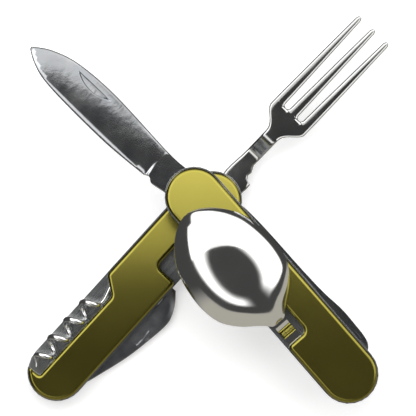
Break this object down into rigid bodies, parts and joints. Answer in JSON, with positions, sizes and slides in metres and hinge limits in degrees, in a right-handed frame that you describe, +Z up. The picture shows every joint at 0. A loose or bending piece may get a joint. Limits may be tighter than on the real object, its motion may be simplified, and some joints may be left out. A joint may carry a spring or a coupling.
{
  "type": "folding picnic cutlery",
  "caption": "Folding camping cutlery of two crossed halves: knife, spoon and second blade on one; fork, can opener and corkscrew on the other.",
  "frame": {"origin": "on the surface that the object lies on, under the middle of its bounding box", "axes": "+Z up out of the surface it lies on; seen from above, the knife points to -X +Y and the fork to +X +Y"},
  "size_m": [0.1334, 0.1422, 0.0335],
  "materials": {
    "anodised_olive": "satin olive anodised pressed aluminium",
    "blade_steel": "ground and polished stainless steel",
    "polished_steel": "mirror-polished stainless steel",
    "liner_steel": "rolled stainless sheet",
    "spring_steel": "hardened spring steel, satin",
    "pin_steel": "turned steel, peened ends"
  },
  "bodies": {
    "fork_half": {"fork_half_cover": "anodised_olive", "fork_half_outer_liner": "liner_steel", "fork_half_middle_liner": "liner_steel", "fork_half_inner_plate": "liner_steel", "fork_spring": "spring_steel", "opener_spring": "spring_steel", "fork_pivot_pin": "pin_steel", "opener_pivot_pin": "pin_steel", "corkscrew_pivot_pin": "pin_steel", "fork_half_rivet": "pin_steel"},
    "knife_half": {"knife_half_cover": "anodised_olive", "knife_half_outer_liner": "liner_steel", "knife_half_middle_liner": "liner_steel", "knife_half_lower_liner": "liner_steel", "knife_half_inner_plate": "liner_steel", "knife_spring": "spring_steel", "second_blade_spring": "spring_steel", "spoon_spring": "spring_steel", "knife_pivot_pin": "pin_steel", "spoon_pivot_pin": "pin_steel", "knife_half_rivet": "pin_steel", "interlock_stud_front": "pin_steel", "interlock_stud_rear": "pin_steel"},
    "fork": {"fork": "polished_steel"},
    "can_opener": {"can_opener": "blade_steel"},
    "corkscrew": {"corkscrew": "blade_steel"},
    "knife": {"knife_blade": "blade_steel"},
    "second_blade": {"second_blade": "blade_steel"},
    "spoon": {"spoon": "polished_steel"}
  },
  "joints": [
    {"name": "knife_half_lift", "type": "slide", "parent": "fork_half", "child": "knife_half", "axis": [0, 0, 1], "range_m": [0, 0.03]},
    {"name": "fork_hinge", "type": "hinge", "parent": "fork_half", "child": "fork", "pos_m": [0.00409, 0.0012, 0.0051], "axis": [0, 0, 1], "range_deg": [-178.2, 1.8]},
    {"name": "opener_hinge", "type": "hinge", "parent": "fork_half", "child": "can_opener", "pos_m": [-0.0558, -0.06017, 0.0022], "axis": [0, 0, 1], "range_deg": [-180, 0]},
    {"name": "corkscrew_hinge", "type": "hinge", "parent": "fork_half", "child": "corkscrew", "pos_m": [-0.03419, -0.02616, 0.0051], "axis": [0, 0, 1], "range_deg": [-90, 0]},
    {"name": "knife_hinge", "type": "hinge", "parent": "knife_half", "child": "knife", "pos_m": [-0.00483, 0.00384, 0.0176], "axis": [0, 0, 1], "range_deg": [-5, 175]},
    {"name": "second_blade_hinge", "type": "hinge", "parent": "knife_half", "child": "second_blade", "pos_m": [-0.00483, 0.00384, 0.0147], "axis": [0, 0, 1], "range_deg": [0, 180]},
    {"name": "spoon_hinge", "type": "hinge", "parent": "knife_half", "child": "spoon", "pos_m": [0.0493, -0.06239, 0.0205], "axis": [0, 0, 1], "range_deg": [0, 180]}
  ]
}
